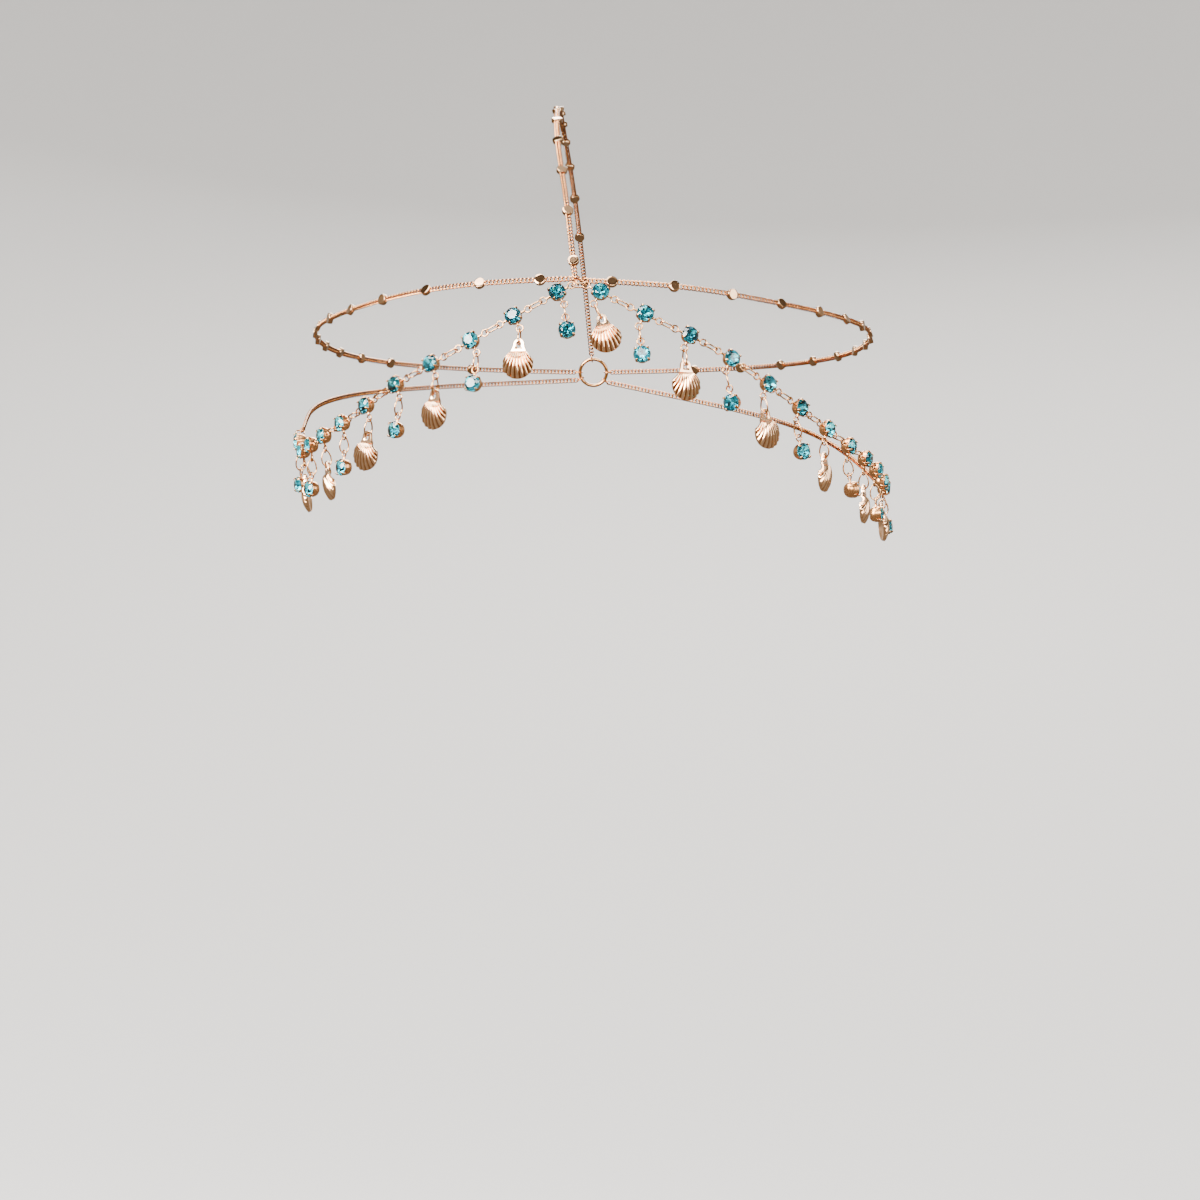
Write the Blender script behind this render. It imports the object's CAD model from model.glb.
import math

import bpy
import numpy as np
from mathutils import Matrix

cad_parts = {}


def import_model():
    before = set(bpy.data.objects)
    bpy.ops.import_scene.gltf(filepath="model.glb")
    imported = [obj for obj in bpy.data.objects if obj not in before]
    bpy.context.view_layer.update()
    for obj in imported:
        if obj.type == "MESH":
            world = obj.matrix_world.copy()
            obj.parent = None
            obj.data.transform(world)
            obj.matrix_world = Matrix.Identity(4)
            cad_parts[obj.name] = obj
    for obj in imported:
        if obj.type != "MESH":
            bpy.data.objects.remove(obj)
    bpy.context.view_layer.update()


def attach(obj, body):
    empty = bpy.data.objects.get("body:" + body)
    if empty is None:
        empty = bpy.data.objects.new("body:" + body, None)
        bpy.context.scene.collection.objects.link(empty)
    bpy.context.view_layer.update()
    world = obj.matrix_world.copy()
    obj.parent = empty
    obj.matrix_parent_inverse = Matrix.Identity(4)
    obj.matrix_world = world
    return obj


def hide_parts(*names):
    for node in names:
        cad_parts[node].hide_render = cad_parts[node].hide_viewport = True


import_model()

MM = 0.001
rng = np.random.default_rng(7)

# Sizes of the part, in millimetres and degrees, as in its source
HEAD_HALF_W = 78.5
HEAD_HALF_D = 100.0
HEAD_H = 91.0
FULLNESS = 2.2
JOIN_TURN = -2.0
BACK_RING_DROP = 66.0
CHAIN_W = 1.6
CHAIN_LIFT = 0.85
DISC_D = 2.9
DISC_T = 1.2
DISC_PITCH = 16.1
DISC_FIRST = (10.0, 8.3)
DISC_FIRST_CROWN = 6.6
COUNTS = (11, 12)
STONE_D = 4.3
TABLE_D = 2.4
STONE_CROWN_H = 0.8
GIRDLE_H = 0.15
STONE_DEPTH = 1.9
CUP_H = 2.25
CUP_RIM_D = 4.2
CUP_FOOT_D = 1.8
CUP_BELLY_H = 1.8
CUP_WALL = 0.2
PRONG_W = 0.6
PRONG_T = 0.26
PRONG_REACH = 0.5
WIRE_D = 0.4
LOOP_R = 0.875
SIDE_REACH = 4.05
LOWER_REACH = 3.6
DROP_REACH = 3.6
NECK_D = 0.66
LOOP_LEVEL = 1.7
LINK_L = 4.05
LINK_W = 2.6
DROP_LINK_L = 4.6
DROP_LINK_W = 3.0
DROP_LINK_TAPER = 0.22
RING_WIRE_D = 1.0
RING_R = 4.0
SHELL_RIBS = 11
SHELL_R = 3.95
SHELL_SPREAD = 112.0
SHELL_SWELL = 1.35
RIB_H = 0.34
NOTCH = 0.16
SHELL_EDGE_T = 0.5
HINGE_W = 4.2
HINGE_DROP = 1.75
SHELL_DROP = 5.05
TAB_T = 0.8
TAB_W = 2.7
TAB_HOLE_D = 1.1
TAB_HOLE_RUN = 0.5
TAB_RISE = 0.1
LINK_GAP = 0.1
HANG_GAP = 0.2
STONE_GAP = 0.13
END_GAP = 0.3

# Heights of the routes over the head at angles from its front, and for the crown the way sideways at angles
# up from its front
BROW_LEFT = [(0, -53.4), (15, -54), (30, -55.8), (45, -58.4), (60, -60), (90, -62), (135, -65),
             (178, -66)]
BROW_RIGHT = [(0, -53.9), (15, -55), (30, -57.8), (45, -59.7), (60, -60.8), (90, -62.5), (135, -65),
              (182, -66)]
SWAG_LEFT = [(0, -54.5), (10, -63.7), (20, -72.7), (30, -80.1), (40, -87), (50, -91), (60, -93.4),
             (70, -94), (80, -87.8), (95, -82), (120, -76), (150, -71), (178, -68)]
SWAG_RIGHT = [(0, -54.5), (10, -63), (20, -71), (30, -80.5), (40, -88.7), (50, -94.4), (65, -99.5),
              (80, -103.5), (110, -98), (145, -82), (182, -68)]
CROWN_OVER = [(20, -3.9), (35, -6.3), (50, -8.8), (65, -9.4), (80, -9.2), (110, -8), (140, -4),
              (166, 0)]
# Roll of the discs about their chain, from the join outwards and over again
DISC_ROLLS = (-4, 8, 14, -10, 4, -14, 10, -6)
# Each drop from the join outwards: swing of its link, swing, outward lean and twist of the drop, and how far
# it lies drawn up
LINK_SWING, SWING, LEAN, TWIST, DRAWN_UP = range(5)
DROPS = (
    [(7, 7, 0, -4, 1.3), (0, 0, 0, 0, 0.4), (-2, -2, 0, 4, 0.4), (-2, -2, -3, 5, 0), (-5, -5, 0, 3, 0),
     (-5, -5, 3, -12, 0), (0, 0, 0, -2, 0.3), (3, 3, -7, 5, 0), (0, 0, 0, -18, 0.2), (0, 0, -7, 15, 0.6),
     (-3, -3, -3, -18, 0)],
    [(26, 12, 0, 0, 0), (4, 4, 2, 8, 0.8), (0, 0, 0, -10, 0.1), (9, 9, 5, 55, 0.1), (4, 4, 3, -4, 0.1),
     (6, 6, 7, 7, 0.2), (0, 0, 0, -15, 0.6), (4, 4, 7, -57, 0.2), (0, 0, 0, -8, 0), (0, 0, 3, -18, 0),
     (0, 0, 4, -16, 1), (0, 0, 6, 10, 1.2)])
# Kinds of route: over the crown, or round the head to the left or the right
OVER, LEFT, RIGHT = 0, -1, 1
BROW = [(LEFT, BROW_LEFT), (RIGHT, BROW_RIGHT)]
SWAG = [(LEFT, SWAG_LEFT), (RIGHT, SWAG_RIGHT)]
CROWN = (OVER, CROWN_OVER)
SIDES = ("left", "right")
# How far ahead along a route a place is looked for, and in how many halvings
SEARCH = 40
HALVINGS = 22
# A strand has no bend nearer to its end than this
LAST_BEND = 3

STONE_SLOPE = 2 * STONE_DEPTH / STONE_D
GIRDLE_LEVEL = (CUP_H + STONE_DEPTH - (CUP_RIM_D / 2 - CUP_WALL) * STONE_SLOPE
                + STONE_GAP * math.sqrt(1 + STONE_SLOPE ** 2))
LINK_PULL = LINK_L - 3 * WIRE_D - 2 * LINK_GAP
LOOP_SPAN = LINK_PULL + 2 * LOOP_R


# Vectors and frames

def vec(*v):
    return np.array(v, float)


def unit(v):
    return v / np.linalg.norm(v)


ORIGIN, X, Z = vec(0, 0, 0), vec(1, 0, 0), vec(0, 0, 1)


def square_to(v, axis):
    return unit(v - (v @ axis) * axis)


def turn(v, axis, angle):
    c, s = math.cos(math.radians(angle)), math.sin(math.radians(angle))
    return v * c + np.cross(axis, v) * s + axis * (axis @ v) * (1 - c)


def place(origin, x, z):
    """Frame at origin with its axes along x and z."""
    m = np.eye(4)
    m[:3, 0], m[:3, 1], m[:3, 2], m[:3, 3] = x, np.cross(z, x), z, origin
    return m


def around(r, angle, z=0.0):
    return vec(r * math.cos(angle), r * math.sin(angle), z)


def full_turn(steps):
    return np.linspace(0, 2 * math.pi, steps, endpoint=False)


def moved(m, p):
    return m[:3, :3] @ np.asarray(p, float) + m[:3, 3]


# Surface of the head and the routes over it, as in the part's source

def left_over(share):
    return max(0.0, 1 - abs(share) ** FULLNESS)


def side_point(angle, z):
    a = math.radians(angle)
    s = abs(math.sin(a) / HEAD_HALF_W) ** FULLNESS + abs(math.cos(a) / HEAD_HALF_D) ** FULLNESS
    r = (left_over((z + HEAD_H) / HEAD_H) / s) ** (1 / FULLNESS)
    return vec(r * math.sin(a), -r * math.cos(a), z)


def over_point(angle, x):
    a = math.radians(angle)
    s = abs(math.cos(a) / HEAD_HALF_D) ** FULLNESS + abs(math.sin(a) / HEAD_H) ** FULLNESS
    r = (left_over(x / HEAD_HALF_W) / s) ** (1 / FULLNESS)
    return vec(x, -r * math.cos(a), r * math.sin(a) - HEAD_H)


def head_normal(p):
    e = FULLNESS - 1
    q = vec(p[0] / HEAD_HALF_W, p[1] / HEAD_HALF_D, (p[2] + HEAD_H) / HEAD_H)
    return unit(np.sign(q) * np.abs(q) ** e / vec(HEAD_HALF_W, HEAD_HALF_D, HEAD_H))


def slope_at(table, i):
    lo, hi = max(0, i - 1), min(len(table) - 1, i + 1)
    return (table[hi][1] - table[lo][1]) / (table[hi][0] - table[lo][0])


def smooth(table, a):
    """Value at a on a smooth curve through the points of a table."""
    i = 0
    while i < len(table) - 2 and table[i + 1][0] <= a:
        i += 1
    run = table[i + 1][0] - table[i][0]
    t = (a - table[i][0]) / run
    return ((2 * t ** 3 - 3 * t ** 2 + 1) * table[i][1]
            + (t ** 3 - 2 * t ** 2 + t) * run * slope_at(table, i)
            + (3 * t ** 2 - 2 * t ** 3) * table[i + 1][1]
            + (t ** 3 - t ** 2) * run * slope_at(table, i + 1))


def on_head(route, a, lift):
    v = smooth(route[1], a)
    p = over_point(a, v) if route[0] == OVER else side_point(JOIN_TURN + route[0] * a, v)
    return p + lift * head_normal(p)


def reached(route, p, d, lift, lo, hi, p_is_past=False):
    """The angle between lo and hi at which the route is d from p, which lies before that place or past it."""
    for _ in range(HALVINGS):
        mid = (lo + hi) / 2
        if (np.linalg.norm(on_head(route, mid, lift) - p) < d) != p_is_past:
            lo = mid
        else:
            hi = mid
    return (lo + hi) / 2


def step_on(route, a, d, lift):
    return reached(route, on_head(route, a, lift), d, lift, a, a + SEARCH)


# Places of the settings, links and drops

join_foot = side_point(JOIN_TURN, SWAG_LEFT[0][1])
join_normal = head_normal(join_foot)
join_at = join_foot + LOOP_LEVEL * join_normal
ring_foot = side_point(180, -BACK_RING_DROP)
ring_normal = head_normal(ring_foot)
ring_at = ring_foot + CHAIN_LIFT * ring_normal
ring_frame = place(ring_at, square_to(X, ring_normal), ring_normal)


def setting_starts(k):
    a = step_on(SWAG[k], 0, LOOP_SPAN / 2, LOOP_LEVEL)
    starts = [a]
    for _ in range(COUNTS[k]):
        a = step_on(SWAG[k], step_on(SWAG[k], a, 2 * SIDE_REACH, LOOP_LEVEL), LOOP_SPAN, LOOP_LEVEL)
        starts.append(a)
    return starts


row_starts = [setting_starts(0), setting_starts(1)]


def setting_frame(k, i):
    route, a = SWAG[k], row_starts[k][i]
    p = on_head(route, a, LOOP_LEVEL)
    q = on_head(route, step_on(route, a, 2 * SIDE_REACH, LOOP_LEVEL), LOOP_LEVEL)
    along = unit(q - p) * route[0]
    out = square_to(head_normal((p + q) / 2), along)
    return place((p + q) / 2 - LOOP_LEVEL * out, along, out)


setting_frames = [[setting_frame(k, i) for i in range(COUNTS[k])] for k in (0, 1)]


def side_loop(k, i, outward):
    return moved(setting_frames[k][i], (SWAG[k][0] * (1 if outward else -1) * SIDE_REACH, 0, LOOP_LEVEL))


def link_frame(p, q, out):
    along = unit(q - p)
    return place((p + q) / 2, along, np.cross(along, square_to(out, along)))


def row_link_frames():
    frames = [link_frame(side_loop(0, 0, False), side_loop(1, 0, False), join_normal)]
    for k in (0, 1):
        for i in range(COUNTS[k]):
            last = i == COUNTS[k] - 1
            q = on_head(SWAG[k], row_starts[k][-1], LOOP_LEVEL) if last else side_loop(k, i + 1, False)
            frames.append(link_frame(side_loop(k, i, True), q, setting_frames[k][i][:3, 2]))
    return frames


def lower_loop(k, i):
    return moved(setting_frames[k][i], (0, -LOWER_REACH, LOOP_LEVEL))


def hang_normal(k, i):
    return head_normal(lower_loop(k, i) - LOWER_REACH * Z)


def hang_down(k, i, swing):
    """Down along a drop or its link, whose swing is one of the columns of the drops."""
    n = hang_normal(k, i)
    down = -Z
    plumb = turn(square_to(down, n) if n[2] > 0 else down, n, DROPS[k][i][swing])
    return turn(plumb, unit(np.cross(plumb, n)), DROPS[k][i][LEAN])


# Down a drop from the middle of the loop that carries it: its link's upper and lower end inside, the middle
# of the loop of a stone drop, and the middle of the hole of a shell
LINK_TOP = LOOP_R - WIRE_D - HANG_GAP
LINK_FOOT = LINK_TOP + DROP_LINK_L - WIRE_D
HUNG_LOOP = LINK_FOOT - WIRE_D - HANG_GAP + LOOP_R
BEND_RISE = TAB_T * TAB_T / 4 / (DROP_LINK_W - WIRE_D)
HUNG_HOLE = LINK_FOOT + TAB_HOLE_D / 2 - WIRE_D / 2 - HANG_GAP - BEND_RISE


def drop_link_frame(k, i):
    down = hang_down(k, i, LINK_SWING)
    middle = lower_loop(k, i) + down * ((LINK_TOP + LINK_FOOT) / 2 - DROPS[k][i][DRAWN_UP] / 2)
    out = turn(square_to(hang_normal(k, i), down), down, DROPS[k][i][TWIST] / 2)
    return link_frame(middle - down, middle + down, out)


def has_stone_drop(k, i):
    """Stone drops and shells hang in turn."""
    return i % 2 == (0 if k == 0 else 1)


def drop_frame(k, i):
    stone = has_stone_drop(k, i)
    hung = (HUNG_LOOP if stone else HUNG_HOLE) - DROPS[k][i][DRAWN_UP]
    at = lower_loop(k, i) + hang_down(k, i, LINK_SWING) * hung
    down = hang_down(k, i, SWING)
    out = turn(square_to(hang_normal(k, i), down), down, DROPS[k][i][TWIST])
    fall, level = (DROP_REACH, LOOP_LEVEL) if stone else (0, TAB_T / 2 + TAB_RISE)
    return place(at + down * fall - level * out, np.cross(-down, out), out)


# Routes of the fine chain

def strand_stop(route):
    last = route[1][-1][0]
    clear = RING_R + RING_WIRE_D / 2 + 2 * END_GAP
    return reached(route, ring_at, clear, CHAIN_LIFT, last - SEARCH, last, p_is_past=True)


def strand_angles(route, start, first):
    stop = strand_stop(route)
    angles, a = [start], first
    while True:
        angles.append(a)
        a = step_on(route, a, DISC_PITCH, CHAIN_LIFT)
        if a >= stop - LAST_BEND:
            return angles + [stop]


def path(route, angles):
    return [on_head(route, a, CHAIN_LIFT) for a in angles]


def brow_points(k):
    route = BROW[k]
    start = step_on(route, route[1][0][0], LINK_L / 2 + END_GAP, CHAIN_LIFT)
    first = step_on(route, 0, DISC_FIRST[k] + DISC_PITCH / 2, CHAIN_LIFT)
    return path(route, strand_angles(route, start, first))


def crown_points():
    join = math.degrees(math.atan2(join_foot[2] + HEAD_H, -join_foot[1]))
    base = reached(CROWN, join_at, WIRE_D / 2 + END_GAP + CHAIN_W / 2, CHAIN_LIFT, join, join + SEARCH)
    first = step_on(CROWN, join, DISC_FIRST_CROWN + DISC_PITCH / 2, CHAIN_LIFT)
    return path(CROWN, strand_angles(CROWN, base, first))


def tail_points(k):
    route, last = SWAG[k], COUNTS[k] - 1
    start = reached(route, side_loop(k, last, True), (LOOP_SPAN + LINK_L) / 2 + END_GAP, CHAIN_LIFT,
                    row_starts[k][last], row_starts[k][-1] + SEARCH)
    return path(route, strand_angles(route, start, step_on(route, start, DISC_PITCH, CHAIN_LIFT)))


def disc_frames(points):
    frames = []
    for i in range(1, len(points) - 1):
        along = unit(points[i] - points[i - 1])
        at = points[i] - along * DISC_PITCH / 2
        frames.append(place(at, along, square_to(head_normal(at), along)))
    return frames


# Meshes are gathered as points, faces, a material number and a shade number for each face

MIDDLE_SHADE = 0.5
UNMOVED = np.eye(4)


class Shape:
    def __init__(self):
        self.v, self.f, self.m, self.s, self.count = [], [], [], [], 0

    def add(self, points, faces, materials=None, shades=None):
        points = np.asarray(points, float)
        self.v.append(points)
        self.f += [[n + self.count for n in f] for f in faces]
        self.m += [0] * len(faces) if materials is None else list(materials)
        self.s += [MIDDLE_SHADE] * len(faces) if shades is None else list(shades)
        self.count += len(points)
        return self

    def put(self, other, m=UNMOVED, shade=None):
        """Adds another shape, placed by m. shade lightens or darkens it."""
        v = np.vstack(other.v)
        self.v.append(v @ m[:3, :3].T + m[:3, 3])
        self.f += [[n + self.count for n in f] for f in other.f]
        self.m += other.m
        self.s += other.s if shade is None else [min(1, max(0, s + shade)) for s in other.s]
        self.count += len(v)
        return self


def link_in(piece):
    bpy.context.scene.collection.objects.link(piece)
    return piece


def build(name, shape, materials, nodes, sharp=None):
    """Makes a piece of a shape in place of nodes. Edges are sharp from the angle sharp on, or all of them."""
    mesh = bpy.data.meshes.new(name)
    mesh.from_pydata((np.vstack(shape.v) * MM).tolist(), [], shape.f)
    for material in materials:
        mesh.materials.append(material)
    mesh.polygons.foreach_set("material_index", shape.m)
    tone = mesh.attributes.new("tone", "FLOAT", "FACE")
    tone.data.foreach_set("value", shape.s)
    mesh.validate()
    mesh.update()
    mesh.polygons.foreach_set("use_smooth", [sharp is not None] * len(mesh.polygons))
    if sharp is not None:
        mesh.set_sharp_from_angle(angle=math.radians(sharp))
    piece = link_in(bpy.data.objects.new(name, mesh))
    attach(piece, "root")
    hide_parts(*nodes)


def grid_faces(rows, columns, closed_rows=False, closed_columns=False):
    """Four-sided faces between rows of points. A closed grid joins its last row or column to its first."""
    faces = []
    for i in range(rows if closed_rows else rows - 1):
        for j in range(columns if closed_columns else columns - 1):
            a, b = i * columns + j, i * columns + (j + 1) % columns
            c, d = (i + 1) % rows * columns + (j + 1) % columns, (i + 1) % rows * columns + j
            faces.append((a, d, c, b))
    return faces


def wire_ring(points, wire_r, sides, normals=None):
    """Closed round wire through points, with the normal of its plane at each point, which is Z by default."""
    n = len(points)
    normals = [Z] * n if normals is None else normals
    rings = []
    for i in range(n):
        along = unit(points[(i + 1) % n] - points[i - 1])
        side = unit(np.cross(along, normals[i]))
        up = np.cross(side, along)
        for j in range(sides):
            t = 2 * math.pi * j / sides
            rings.append(points[i] + wire_r * (math.cos(t) * side + math.sin(t) * up))
    return Shape().add(rings, grid_faces(n, sides, True, True))


def oval(a, b, wire_r, bends, sides):
    return wire_ring([vec(a * math.cos(t), b * math.sin(t), 0) for t in full_turn(bends)], wire_r, sides)


def lathe(profile, sides, capped=True):
    """Turned form round Z. Capped, its first and last ring are closed by a flat face each."""
    points = [around(r, a, z) for r, z in profile for a in full_turn(sides)]
    faces = grid_faces(len(profile), sides, False, True)
    if capped:
        faces += [tuple(range(sides)), tuple(range(len(points) - 1, len(points) - sides - 1, -1))]
    return Shape().add(points, [face[::-1] for face in faces])


def subdivided(shape):
    mesh = bpy.data.meshes.new("temporary")
    mesh.from_pydata(np.vstack(shape.v).tolist(), [], shape.f)
    piece = link_in(bpy.data.objects.new("temporary", mesh))
    piece.modifiers.new("rounder", "SUBSURF").levels = 1
    done = bpy.data.meshes.new_from_object(piece.evaluated_get(bpy.context.evaluated_depsgraph_get()))
    v = np.zeros(len(done.vertices) * 3)
    done.vertices.foreach_get("co", v)
    faces = [tuple(p.vertices) for p in done.polygons]
    bpy.data.objects.remove(piece)
    bpy.data.meshes.remove(mesh)
    bpy.data.meshes.remove(done)
    return Shape().add(v.reshape(-1, 3), faces)


# Materials. A noise has cells of 1 / scale metres.

GRAIN_DEPTH = 0.00002


def material(name):
    m = bpy.data.materials.new(name)
    m.use_nodes = True
    return m, m.node_tree, m.node_tree.nodes["Principled BSDF"]


def noise(tree, scale, detail, rough=0.5):
    coordinates = tree.nodes.new("ShaderNodeTexCoord")
    node = tree.nodes.new("ShaderNodeTexNoise")
    node.inputs["Scale"].default_value = scale
    node.inputs["Detail"].default_value = detail
    node.inputs["Roughness"].default_value = rough
    tree.links.new(coordinates.outputs["Object"], node.inputs["Vector"])
    return node.outputs["Fac"]


def tone_of_faces(tree):
    node = tree.nodes.new("ShaderNodeAttribute")
    node.attribute_name = "tone"
    return node.outputs["Fac"]


def ramp(tree, source, stops, target):
    """Sends a colour or value to target, picked by source between the stops of a ramp."""
    node = tree.nodes.new("ShaderNodeValToRGB")
    while len(node.color_ramp.elements) < len(stops):
        node.color_ramp.elements.new(0.5)
    for element, (position, color) in zip(node.color_ramp.elements, stops):
        element.position = position
        element.color = (color, color, color, 1) if np.isscalar(color) else (*color, 1)
    tree.links.new(source, node.inputs["Fac"])
    tree.links.new(node.outputs["Color"], target)


def metal(name, dark, light, rough_low, rough_high, bump):
    """Plated metal: cloudy between two colours, finely grained in its gloss and its surface."""
    m, tree, shader = material(name)
    cloud = noise(tree, scale=900, detail=3)
    ramp(tree, cloud, [(0.3, dark), (0.7, light)], shader.inputs["Base Color"])
    shader.inputs["Metallic"].default_value = 1
    grain = noise(tree, scale=3500, detail=4, rough=0.6)
    ramp(tree, grain, [(0.3, rough_low), (0.75, rough_high)], shader.inputs["Roughness"])
    relief = tree.nodes.new("ShaderNodeBump")
    relief.inputs["Strength"].default_value = bump
    relief.inputs["Distance"].default_value = GRAIN_DEPTH
    tree.links.new(grain, relief.inputs["Height"])
    tree.links.new(relief.outputs["Normal"], shader.inputs["Normal"])
    return m


def shell_metal():
    """Rose gold that is darkened down in the grooves, as the polishing wheel leaves it."""
    m = metal("shell_gold", (0.88, 0.54, 0.32), (0.97, 0.65, 0.42),
              rough_low=0.09, rough_high=0.20, bump=0.10)
    tree, shader = m.node_tree, m.node_tree.nodes["Principled BSDF"]
    plain = shader.inputs["Base Color"].links[0].from_socket
    wear_share = 0.3
    share = tree.nodes.new("ShaderNodeMath")
    share.operation = "MULTIPLY_ADD"
    tree.links.new(noise(tree, scale=1300, detail=3), share.inputs[0])
    share.inputs[1].default_value = wear_share
    tree.links.new(tone_of_faces(tree), share.inputs[2])
    mixed = tree.nodes.new("ShaderNodeMix")
    mixed.data_type = "RGBA"
    mixed.blend_type = "MULTIPLY"
    mixed.inputs["Factor"].default_value = 1
    tree.links.new(plain, mixed.inputs["A"])
    ramp(tree, share.outputs["Value"],
         [(0.35, (0.64, 0.53, 0.39)), (0.62, (0.86, 0.75, 0.61)), (0.85, (1.0, 1.0, 1.0))], mixed.inputs["B"])
    tree.links.new(mixed.outputs["Result"], shader.inputs["Base Color"])
    return m


chain_gold = metal("chain_gold", (0.42, 0.175, 0.065), (0.56, 0.26, 0.105),
                   rough_low=0.09, rough_high=0.22, bump=0.15)
disc_gold = metal("disc_gold", (0.42, 0.245, 0.13), (0.51, 0.32, 0.185),
                  rough_low=0.06, rough_high=0.10, bump=0.03)
setting_gold = metal("setting_gold", (0.58, 0.29, 0.125), (0.73, 0.40, 0.19),
                     rough_low=0.08, rough_high=0.18, bump=0.12)
cup_copper = metal("cup_copper", (0.68, 0.32, 0.13), (0.82, 0.42, 0.19),
                   rough_low=0.20, rough_high=0.34, bump=0.2)
shell_gold = shell_metal()


def stone_glass():
    m, tree, shader = material("stone_glass")
    shader.inputs["Base Color"].default_value = (0.29, 0.87, 0.91, 1)
    shader.inputs["Transmission Weight"].default_value = 1
    shader.inputs["IOR"].default_value = 1.58
    ramp(tree, noise(tree, scale=2500, detail=2), [(0.3, 0.0), (0.8, 0.05)], shader.inputs["Roughness"])
    return m


def stone_foil():
    """The mirrored underside, whose facets differ in tone by the way each of them lies."""
    m, tree, shader = material("stone_foil")
    ramp(tree, tone_of_faces(tree),
         [(0.0, (0.001, 0.035, 0.05)), (0.3, (0.002, 0.15, 0.185)), (0.65, (0.018, 0.37, 0.42)),
          (1.0, (0.42, 0.88, 0.91))], shader.inputs["Base Color"])
    shader.inputs["Metallic"].default_value = 1
    ramp(tree, noise(tree, scale=2500, detail=2), [(0.3, 0.05), (0.8, 0.14)], shader.inputs["Roughness"])
    return m


glass, foil = stone_glass(), stone_foil()


# One cut stone: crown and girdle of glass over a foiled underside

FACETS = 8
CROWN_BREAK = 2.1
UNDER_BREAK = 0.45
FACET_TONES = (0.15, 0.7, 0.35, 0.95, 0.5, 0.05, 0.8, 0.3)


def stone_shape():
    half = math.pi / FACETS
    stone_r, table_r = STONE_D / 2, TABLE_D / 2
    slope = STONE_CROWN_H / (stone_r - table_r)
    crown_r = (stone_r + table_r) / CROWN_BREAK
    crown_z = STONE_CROWN_H - (crown_r * math.cos(half) - table_r) * slope
    lower_r = stone_r * UNDER_BREAK
    lower_z = -STONE_DEPTH + lower_r * math.cos(half) * STONE_DEPTH / stone_r

    def ring(r, z, n, shift=0.0):
        return [around(r, 2 * math.pi * (k + shift) / n, z) for k in range(n)]

    points = (ring(table_r, GIRDLE_H + STONE_CROWN_H, FACETS) + ring(crown_r, GIRDLE_H + crown_z, FACETS, 0.5)
              + ring(stone_r, GIRDLE_H, 2 * FACETS) + ring(stone_r, 0, 2 * FACETS)
              + ring(lower_r, lower_z, FACETS, 0.5) + [vec(0, 0, -STONE_DEPTH)])
    # first points of the table, crown, girdle's upper and lower edge and underside, and the tip
    t, c, g, b, p, tip = (FACETS * n for n in (0, 1, 2, 4, 6, 7))
    top, under = [tuple(range(FACETS))], []
    for k in range(FACETS):
        n, x, y, z = (k + 1) % FACETS, 2 * k, 2 * k + 1, (2 * k + 2) % (2 * FACETS)
        top += [(t + k, c + k, t + n), (t + n, c + k, g + z), (t + n, g + z, c + n),
                (c + k, g + x, g + y), (c + k, g + y, g + z),
                (g + x, b + y, g + y), (g + x, b + x, b + y), (g + y, b + z, g + z), (g + y, b + y, b + z)]
        under += [(b + x, p + k, b + y), (b + y, p + k, b + z), (p + k, tip, b + z), (b + z, tip, p + n)]
    shades = [MIDDLE_SHADE] * len(top) + [FACET_TONES[3 * i % len(FACET_TONES)] for i in range(len(under))]
    points = [q + GIRDLE_LEVEL * Z for q in points]
    return Shape().add(points, top + under, [0] * len(top) + [1] * len(under), shades)


# One setting: bowl, four prongs, loops on their necks

# Radius at which a turned form ends before its axis, roundness of edges, and sides of a round wire
AXIS_R = 0.001
SOFT = 0.05
WIRE_SIDES = 10


def cup_shape():
    """Bowl that swells from its foot to its belly and is drawn in round the edge of the stone."""
    rim, foot, girdle = CUP_RIM_D / 2, CUP_FOOT_D / 2, STONE_D / 2
    floor = GIRDLE_LEVEL - STONE_DEPTH - 2 * STONE_GAP
    belly = [(foot + (rim - foot) * math.sin(a), CUP_BELLY_H * (1 - math.cos(a)))
             for a in np.radians(np.arange(0, 91, 9))]
    lip = [(rim + 0.02, CUP_H - SOFT), (girdle + SOFT, GIRDLE_LEVEL - 0.06),
           (girdle + 0.035, GIRDLE_LEVEL + 0.02), (girdle, GIRDLE_LEVEL)]
    inside = [(rim - CUP_WALL + 0.06, CUP_H), (rim - CUP_WALL, CUP_H - SOFT), (AXIS_R, floor)]
    return lathe([(AXIS_R, 0), (foot * 0.7, 0)] + belly + lip + inside, sides=32)


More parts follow.
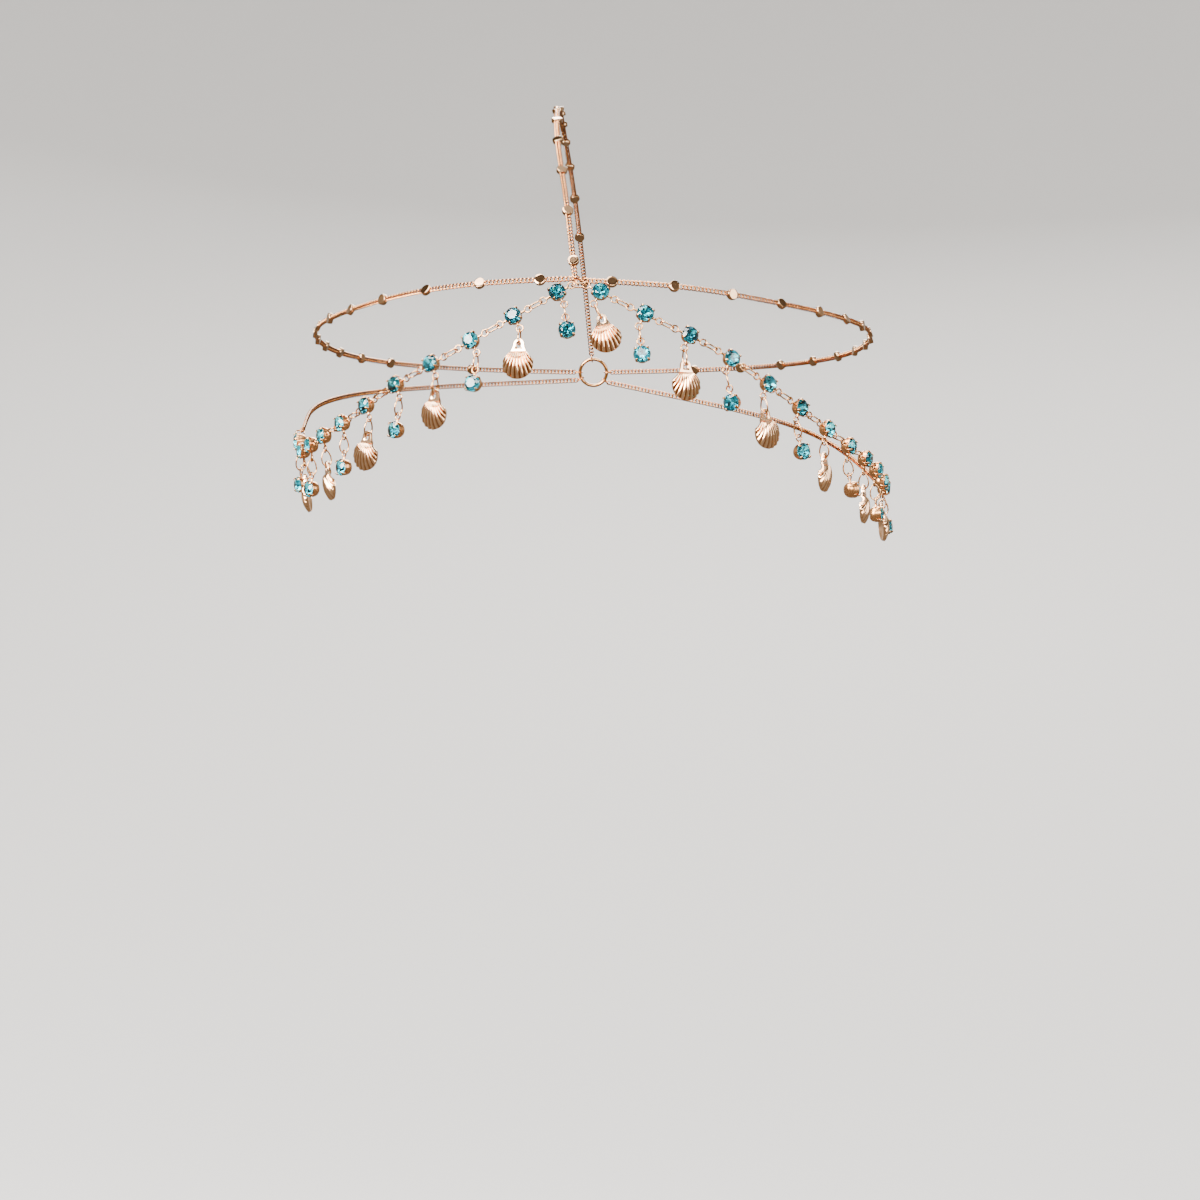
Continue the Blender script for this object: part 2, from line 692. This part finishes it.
def prong_shape():
    """Bent tab with a rounded end, from the wall of the cup up and over the edge of the stone."""
    slope = STONE_CROWN_H / (STONE_D / 2 - TABLE_D / 2)
    inner = STONE_D / 2 + STONE_GAP
    low = GIRDLE_LEVEL + GIRDLE_H + STONE_GAP * math.sqrt(1 + slope ** 2)
    half = PRONG_T / 2
    tip = inner - PRONG_REACH
    wall = CUP_RIM_D / 2
    # its middle line by distance from the axis and height, with the share of its width at each point
    middle = [(wall - 0.12, CUP_H - 0.85), (wall, CUP_H - 0.55),
              (inner + half, CUP_H - 0.1), (inner + half, low - 0.1), (inner + half - 0.04, low + 0.14),
              (inner - 0.1, low + 0.36), (tip + 0.25, low + 0.24 + (inner - tip - 0.25) * slope),
              (tip + 0.06, low + 0.20 + (inner - tip - 0.06) * slope)]
    widths = [0.95, 1.0, 1.0, 1.0, 1.0, 0.98, 0.86, 0.5]
    thick_edge, thick_middle = 0.88, 1.06
    section = ((-1, -1), (0, -1), (1, -1), (1, 1), (0, 1), (-1, 1))
    rings = []
    for i, ((x, z), w) in enumerate(zip(middle, widths)):
        past, before = middle[min(i + 1, len(middle) - 1)], middle[max(i - 1, 0)]
        dx, dz = past[0] - before[0], past[1] - before[1]
        size = math.hypot(dx, dz)
        nx, nz = dz / size, -dx / size
        for side, up in section:
            crown = thick_edge if side else thick_middle
            rings.append(vec(x + nx * half * up * crown, side * w * PRONG_W / 2, z + nz * half * up * crown))
    faces = grid_faces(len(middle), len(section), False, True)
    n = (len(middle) - 1) * len(section)
    faces += [(0, 1, 4, 5), (1, 2, 3, 4), (n + 5, n + 4, n + 1, n), (n + 4, n + 3, n + 2, n + 1)]
    return subdivided(Shape().add(rings, faces))


def turned_to(angle):
    return place(ORIGIN, around(1, math.radians(angle)), Z)


def loop_on_neck(reach, angle):
    """Loop at a reach from the middle of the cup, on a neck that flares where it is soldered to the wall."""
    towards = turned_to(angle)
    loop = oval(LOOP_R, LOOP_R, WIRE_D / 2, bends=28, sides=WIRE_SIDES)
    shape = Shape().put(loop, towards @ place(vec(reach, 0, LOOP_LEVEL), X, Z))
    neck_r, start, stop = NECK_D / 2, CUP_RIM_D / 2 - 0.35, reach - LOOP_R + 0.08
    flare = [(neck_r + 0.12, start), (neck_r + 0.02, start + 0.35), (neck_r - 0.03, (start + stop) / 2 + 0.1),
             (neck_r - 0.02, stop - 0.08), (neck_r - 0.1, stop)]
    return shape.put(lathe(flare, sides=14), towards @ place(vec(0, 0, LOOP_LEVEL), -Z, X))


cup, prong = cup_shape(), prong_shape()


def setting_shape(loops):
    shape = Shape().put(cup)
    shape.m = [1] * len(shape.f)
    for angle in (45, 135, 225, 315):
        shape.put(prong, turned_to(angle))
    for reach, angle in loops:
        shape.put(loop_on_neck(reach, angle))
    return shape


# One scallop shell: ribs and grooves in front, a hollow back, and a tab with its long hole

RIB_COLUMNS = 8
RIB_ROWS = 24
# Rounded ribs are drawn higher than the straight ones of the source, so that they look as deep
ROUND_RIB_H = RIB_H * 1.3
BACK_SHADE = 0.75
RIM_SHADE = 0.6
TAB_SHADE = 0.5


def fan_height(v):
    """Swell of the fan down a rib: it rises steeply from the hinge and falls round towards the edge."""
    return smooth([(0, 0.28), (0.1, 0.66), (0.25, 0.94), (0.45, 1.0), (0.65, 0.87), (0.82, 0.57),
                   (0.94, 0.22), (1, 0)], v)


def fan_point(u, v, r, hinge_half_w, hinge_y):
    """Point a share v of the way from the hinge to the edge, and u across, from -1 to 1."""
    a = math.radians(u * SHELL_SPREAD)
    top = vec(u * hinge_half_w, hinge_y)
    edge = vec(r * math.sin(a), -SHELL_DROP - r * math.cos(a))
    return top + (edge - top) * v


def rib_crest(i):
    """1 on a rib and 0 in a groove, with broad ribs and narrow grooves."""
    return (0.5 - 0.5 * math.cos(2 * math.pi * i / RIB_COLUMNS)) ** 0.6


def rib_height(v):
    """Height of the ribs, which rise in the first fifth from the hinge and grow a little up to the edge."""
    return ROUND_RIB_H * min(1, v * 5) * (0.65 + 0.35 * v)


def shell_shape():
    columns, rows = SHELL_RIBS * RIB_COLUMNS, RIB_ROWS
    w = columns + 1
    foot = rows * w
    wall, rim, back_swell, ears = 0.3, 0.18, 0.8, 0.6
    # the front, and behind it the hollow back, a wall's thickness away
    front, back = [], []
    for j in range(rows + 1):
        v = j / rows
        for i in range(columns + 1):
            u = 2 * i / columns - 1
            crest = rib_crest(i)
            swell = SHELL_SWELL * fan_height(v) * (1 - 0.5 * u * u)
            z = SHELL_EDGE_T + swell + rib_height(v) * (crest - 0.25)
            p = fan_point(u, v, SHELL_R + NOTCH * (crest - 0.5), HINGE_W / 2 * 0.92, -HINGE_DROP - SOFT)
            front.append(vec(*p, z))
            q = fan_point(u, v, SHELL_R - rim, (HINGE_W - ears) / 2, -HINGE_DROP - 0.25)
            back.append(vec(*q, min(swell * back_swell, z - wall) if 0 < v < 1 else 0))
    n = len(front)
    net = grid_faces(rows + 1, w)
    faces = list(net) + [(f[3] + n, f[2] + n, f[1] + n, f[0] + n) for f in net]
    # the grooves are darker the further they are down the shell
    shades = [1 - (1 - rib_crest(i + 0.5)) * min(1, 0.5 + 1.1 * (j + 0.5) / rows)
              for j in range(rows) for i in range(columns)]
    shades += [BACK_SHADE] * len(net)
    # the rim between front and back
    for i in range(columns):
        faces.append((foot + i, n + foot + i, n + foot + i + 1, foot + i + 1))
        faces.append((i, i + 1, n + i + 1, n + i))
    for j in range(rows):
        a, b = j * w, (j + 1) * w
        faces.append((a, n + a, n + b, b))
        faces.append((a + columns, b + columns, n + b + columns, n + a + columns))
    shades += [RIM_SHADE] * (len(faces) - len(shades))
    return Shape().add(front + back, faces, None, shades).put(tab_shape(), UNMOVED, TAB_SHADE)


TAB_FOOT = -HINGE_DROP - 0.1
TAB_BASE_W = HINGE_W * 0.94


def tab_half_width(y):
    """Half the width of the tab at a height: round at the top, then flared out to its base."""
    if y >= 0:
        return math.sqrt(max(0.0, (TAB_W / 2) ** 2 - y * y))
    return TAB_W / 2 + (TAB_BASE_W - TAB_W) / 2 * (y / TAB_FOOT) ** 1.6


def tab_shape():
    """Flat tab with a round top, flared base, long hole and softened rims, as rings of points round the
    hole."""
    sides, soft = 56, 0.1
    front = TAB_RISE + TAB_T
    centre = vec(0, -TAB_HOLE_RUN / 2)

    def outline(t):
        c, s = math.cos(t), math.sin(t)
        lo, hi = 0.0, 4.0
        for _ in range(24):
            mid = (lo + hi) / 2
            x, y = centre + mid * vec(c, s)
            inside = TAB_FOOT < y < TAB_W / 2 and abs(x) < tab_half_width(y)
            lo, hi = (mid, hi) if inside else (lo, mid)
        return centre + lo * vec(c, s)

    def hole(t, grow=0.0):
        r = TAB_HOLE_D / 2 + grow
        c, s = math.cos(t), math.sin(t)
        return centre + vec(r * c, r * s + TAB_HOLE_RUN / 2 * (1 if s > 0 else -1 if s < 0 else 0))

    # corners of the base get a point of their own, so that they stay crisp
    corner = math.atan2(TAB_FOOT - centre[1], TAB_BASE_W / 2)
    angles = full_turn(sides)
    for want in (corner % (2 * math.pi), math.pi - corner):
        angles[np.argmin(np.abs(angles - want))] = want

    def lift(p):
        """The front of the tab leans out towards its base."""
        return 0.06 * min(1.0, max(0.0, -p[1] / HINGE_DROP)) ** 2

    # outside and front, each by the shares of the outline and of the hole that a ring lies at, and its height
    inset = 0.965
    rings = []
    for share, hole_share, z in ((1, 0, TAB_RISE + soft), (1, 0, front - soft), (inset, 0, front),
                                 (0.6, 0.2, front)):
        ring = [centre + (outline(t) - centre) * share + (hole(t) - centre) * hole_share for t in angles]
        rings.append([vec(*p, z + (lift(p) if z > front - 2 * soft else 0)) for p in ring])
    # hole and back
    rings.append([vec(*hole(t, soft), front + lift(hole(t, soft))) for t in angles])
    rings.append([vec(*hole(t), front - soft) for t in angles])
    rings.append([vec(*hole(t), TAB_RISE + soft) for t in angles])
    rings.append([vec(*hole(t, soft), TAB_RISE) for t in angles])
    rings.append([vec(*(centre + (outline(t) - centre) * inset), TAB_RISE) for t in angles])
    faces = [face[::-1] for face in grid_faces(len(rings), sides, True, True)]
    return Shape().add([p for ring in rings for p in ring], faces)


# Links

def long_link():
    run, r = LINK_L - LINK_W, (LINK_W - WIRE_D) / 2
    points = []
    for s in (1, -1):
        points += [vec(s * (run / 2 + r * math.cos(a)), s * r * math.sin(a), 0)
                   for a in np.linspace(-math.pi / 2, math.pi / 2, 13)]
    return wire_ring(points, WIRE_D / 2, WIRE_SIDES)


def pear_link():
    a = (DROP_LINK_L - WIRE_D) / 2
    b = (DROP_LINK_W - WIRE_D) / 2 / (1 + DROP_LINK_TAPER ** 2 / 2)
    points = [vec(a * math.cos(t), b * math.sin(t) * (1 + DROP_LINK_TAPER * math.cos(t)), 0)
              for t in full_turn(32)]
    return wire_ring(points, WIRE_D / 2, WIRE_SIDES)


# Fine curb chain: twisted oval links that pass through each other, along a smooth line through the strand

CURB_PITCH = 1.06
CURB_A, CURB_B, CURB_WIRE, CURB_TWIST = 0.735, 0.61, 0.195, 46
CURB_BENDS, CURB_SIDES = 16, 6
# Each link of a worn chain is rolled a little more or less about the strand
CURB_ROLL = 2.5
WIDE_A, WIDE_B, WIDE_WIRE = 1.15, 0.8, 0.2


def curb_link():
    points, normals = [], []
    for t in full_turn(CURB_BENDS):
        w = math.radians(CURB_TWIST) * math.cos(t)
        across = CURB_B * math.sin(t)
        points.append(vec(CURB_A * math.cos(t), across * math.cos(w), across * math.sin(w)))
        normals.append(vec(0, -math.sin(w), math.cos(w)))
    return wire_ring(points, CURB_WIRE, CURB_SIDES, normals)


def smooth_line(points):
    """Close points along a smooth curve that starts and ends with points and touches each straight run
    halfway."""
    halfway = [(points[i] + points[i + 1]) / 2 for i in range(1, len(points) - 2)]
    knots = [points[0]] + halfway + [points[-1]]
    line = []
    for i in range(1, len(points) - 1):
        a, b, c = knots[i - 1], points[i], knots[i]
        for t in np.linspace(0, 1, 40, endpoint=i == len(points) - 2):
            line.append((1 - t) ** 2 * a + 2 * t * (1 - t) * b + t * t * c)
    return np.array(line)


def curb_chain(points, start, end, first_on_edge):
    """Curb links along points, with the outer ends of the first and the last at start and end. A first link
    on edge can hold a wire that runs across the chain."""
    line = np.vstack([[start], smooth_line(points), [end]])
    steps = np.linalg.norm(np.diff(line, axis=0), axis=1)
    run = np.concatenate([[0], np.cumsum(steps)])
    margin = CURB_A + CURB_WIRE
    count = max(2, round((run[-1] - 2 * margin) / CURB_PITCH) + 1)
    half_reach = 0.5

    def at_run(d):
        return vec(*[np.interp(d, run, line[:, c]) for c in range(3)])

    shape = Shape()
    for n in range(count):
        d = margin + (run[-1] - 2 * margin) * n / (count - 1)
        at = at_run(d)
        along = unit(at_run(d + half_reach) - at_run(d - half_reach))
        out = turn(square_to(head_normal(at), along), along, rng.normal(0, CURB_ROLL))
        on_edge = n == 0 and first_on_edge
        shape.put(flat_link if on_edge else link, place(at, along, turn(out, along, 90) if on_edge else out))
    return shape


def ring_end(points):
    """Where a strand ends near the back ring, and the wide link that ties it to the ring's wire."""
    across = square_to(points[-1] - ring_at, ring_normal)
    inside = RING_R - RING_WIRE_D / 2
    slack, chain_end = 0.05, 1.42
    wide = place(ring_at + across * (inside - slack + WIDE_A - WIDE_WIRE) + ring_normal * slack, across,
                 np.cross(across, ring_normal))
    return ring_at + across * (inside + chain_end), wide


link = curb_link()
flat_link = oval(CURB_A, CURB_B, CURB_WIRE, CURB_BENDS, CURB_SIDES)
wide_link = oval(WIDE_A, WIDE_B, WIDE_WIRE, bends=24, sides=8)


def disc_shape(roll):
    """Flat disc with rounded edges, rolled about its chain."""
    r, h, bevel = DISC_D / 2, DISC_T / 2, 0.14
    front = [(r, h - bevel), (r - 0.05, h - 0.04), (r - bevel, h), (r * 0.6, h), (AXIS_R, h)]
    body = lathe([(x, -z) for x, z in reversed(front)] + front, sides=36)
    a = math.radians(roll)
    return Shape().put(body, place(ORIGIN, X, vec(0, -math.sin(a), math.cos(a))))


# The pieces

def rows():
    return [(k, i) for k in (0, 1) for i in range(COUNTS[k])]


def strand_piece(name, node, points, start, first_on_edge):
    end, wide = ring_end(points)
    shape = curb_chain(points, start, end, first_on_edge).put(wide_link, wide)
    build(name, shape, [chain_gold], [node], ROUND)


# Angles between faces from which an edge is sharp, on round wires and on stamped metal
ROUND, STAMPED = 60, 50

# At the front the crown strand's first link stands on edge round the inner wire of the long link, and the
# brow strands' first links pass through the link above it
join_up, join_across = square_to(Z, join_normal), square_to(X, join_normal)
join_low = join_foot + CHAIN_LIFT * join_normal
brow_rises, brow_aside, crown_fall, tail_overlap = (1.55, 1.05), (0.28, -0.28), 0.8, 0.85
link_frames = row_link_frames()
for k in (0, 1):
    start = join_low + join_up * brow_rises[k] + join_across * brow_aside[k]
    strand_piece(f"curb_chain_brow_{SIDES[k]}", f"brow_chain_{SIDES[k]}", brow_points(k), start, True)
    last = link_frames[COUNTS[0] if k == 0 else -1]
    start = moved(last, (LINK_L / 2 - tail_overlap, 0, 0))
    strand_piece(f"curb_chain_tail_{SIDES[k]}", f"swag_tail_{SIDES[k]}", tail_points(k), start, False)
strand_piece("curb_chain_crown", "crown_chain", crown_points(), join_low - join_up * crown_fall, True)

for name, frames in (("brow_discs", disc_frames(brow_points(0)) + disc_frames(brow_points(1))),
                     ("crown_discs", disc_frames(crown_points()))):
    shape = Shape()
    for i, m in enumerate(frames):
        shape.put(disc_shape(DISC_ROLLS[i % len(DISC_ROLLS)]), m)
    build("flat_" + name, shape, [disc_gold], [name], STAMPED)

row_setting = setting_shape([(SIDE_REACH, 0), (SIDE_REACH, 180), (LOWER_REACH, -90)])
for k, i in rows():
    build(f"claw_setting_{SIDES[k]}_{i + 1:02d}", Shape().put(row_setting, setting_frames[k][i]),
          [setting_gold, cup_copper], [f"row_setting_{SIDES[k]}_{i + 1:02d}"], STAMPED)

drop_setting = setting_shape([(DROP_REACH, 90)])
stone = stone_shape()
scallop = shell_shape()
drop_settings, drop_stones, row_stones = Shape(), Shape(), Shape()


def set_stone(stones, m):
    """Each stone sits turned by its own angle and catches the light in its own tone."""
    turned = place(ORIGIN, unit(vec(1, rng.uniform(-0.4, 0.4), 0)), Z)
    stones.put(stone, m @ turned, rng.uniform(-0.15, 0.15))


for k, i in rows():
    set_stone(row_stones, setting_frames[k][i])
    m = drop_frame(k, i)
    if has_stone_drop(k, i):
        drop_settings.put(drop_setting, m)
        set_stone(drop_stones, m)
    else:
        build(f"scallop_{SIDES[k]}_{i + 1:02d}", Shape().put(scallop, m), [shell_gold],
              [f"shell_drop_{SIDES[k]}_{i + 1:02d}"], ROUND)
build("claw_settings_of_drops", drop_settings, [setting_gold, cup_copper], ["drop_settings"],
      STAMPED)
build("cut_stones_of_drops", drop_stones, [glass, foil], ["drop_stones"])
build("cut_stones_of_row", row_stones, [glass, foil], ["row_stones"])

back_ring = oval(RING_R, RING_R, RING_WIRE_D / 2, bends=64, sides=16)
for name, node, form, frames in (("long_links", "row_links", long_link(), link_frames),
                                 ("pear_links", "drop_links", pear_link(),
                                  [drop_link_frame(k, i) for k, i in rows()]),
                                 ("back_wire_ring", "back_ring", back_ring, [ring_frame])):
    shape = Shape()
    for m in frames:
        shape.put(form, m)
    build(name, shape, [setting_gold], [node], ROUND)


# Floor, backdrop, lights and camera, in metres

FLOOR_R = 0.3
FLOOR_DROP = 0.34
COVE_R = 1.9
WALL_TOP = 3.2
LOOKED_AT = (0, 0, -0.07)
# Name, place, width and height, watts and colour of each soft light
LIGHTS = (
    ("key", (-0.76, -0.85, 0.40), (0.75, 0.5), 66, (1.0, 0.98, 0.95)),
    ("front", (0.15, -1.15, 0.42), (0.8, 0.35), 16, (1.0, 0.99, 0.97)),
    ("fill", (1.0, -0.55, 0.25), (0.4, 0.7), 8, (0.97, 0.98, 1.0)),
    ("top", (-0.38, -0.24, 0.90), (0.8, 0.7), 36, (1.0, 0.99, 0.97)),
    ("back", (0.15, 1.20, 0.65), (0.6, 0.5), 20, (1.0, 0.98, 0.95)))
# The photograph's frame is this many pixels wide, and so many pixels is its focal length
FRAME_PX = 1200
FOCAL_PX = 3986
SENSOR_W = 36
EYE_AT = (0.002, -1.1, -0.1342)


def stage():
    """Pale floor that turns up into a pale wall all round. Metal doesn't mirror it, but the soft room
    beyond."""
    profile = [(0.00001, 0.0), (FLOOR_R / 2, 0.0), (FLOOR_R, 0.0)]
    profile += [(FLOOR_R + COVE_R * math.sin(a), COVE_R - COVE_R * math.cos(a))
                for a in np.radians(np.arange(3, 91, 3))]
    profile += [(FLOOR_R + COVE_R, WALL_TOP)]
    shape = lathe(profile, sides=96, capped=False)
    mesh = bpy.data.meshes.new("floor")
    mesh.from_pydata((np.vstack(shape.v) - FLOOR_DROP * Z).tolist(), [], shape.f)
    mesh.polygons.foreach_set("use_smooth", [True] * len(mesh.polygons))
    m, tree, shader = material("floor_paper")
    ramp(tree, noise(tree, scale=1.5, detail=2), [(0.2, (0.44, 0.43, 0.42)), (0.8, (0.47, 0.46, 0.45))],
         shader.inputs["Base Color"])
    shader.inputs["Roughness"].default_value = 0.9
    mesh.materials.append(m)
    floor = link_in(bpy.data.objects.new("floor", mesh))
    floor.visible_glossy = False


def area_light(name, position, size, power, color):
    light = bpy.data.lights.new(name, "AREA")
    light.shape = "RECTANGLE"
    light.size, light.size_y = size
    light.energy = power
    light.color = color
    z = unit(vec(*position) - vec(*LOOKED_AT))
    lamp = link_in(bpy.data.objects.new(name, light))
    lamp.matrix_world = Matrix(place(vec(*position), unit(np.cross(Z, z)), z).tolist())


def world():
    """Soft room, the same all round: brown below, brighter just above eye level, a dark band higher up and
    white overhead."""
    w = bpy.data.worlds.new("studio")
    bpy.context.scene.world = w
    w.use_nodes = True
    tree = w.node_tree
    background = tree.nodes["Background"]
    coordinates = tree.nodes.new("ShaderNodeTexCoord")
    parts = tree.nodes.new("ShaderNodeSeparateXYZ")
    tree.links.new(coordinates.outputs["Generated"], parts.inputs["Vector"])
    height = tree.nodes.new("ShaderNodeMapRange")
    height.inputs["From Min"].default_value = -1
    tree.links.new(parts.outputs["Z"], height.inputs["Value"])
    below, eye_level, higher = (0.26, 0.22, 0.175), (0.60, 0.53, 0.45), (0.44, 0.38, 0.31)
    band, overhead = (0.15, 0.125, 0.095), (1.0, 0.98, 0.95)
    ramp(tree, height.outputs["Result"], [(0.20, below), (0.47, below), (0.58, eye_level), (0.68, higher),
                                          (0.78, band), (0.91, band), (0.96, overhead)],
         background.inputs["Color"])
    background.inputs["Strength"].default_value = 1.35


stage()
world()
for light in LIGHTS:
    area_light(*light)

camera = bpy.data.cameras.new("camera")
camera.sensor_width = SENSOR_W
camera.lens = SENSOR_W * FOCAL_PX / FRAME_PX
camera.clip_start, camera.clip_end = 0.05, 20
eye = link_in(bpy.data.objects.new("camera", camera))
eye.location = EYE_AT
eye.rotation_euler = (math.pi / 2, 0, 0)
bpy.context.scene.camera = eye
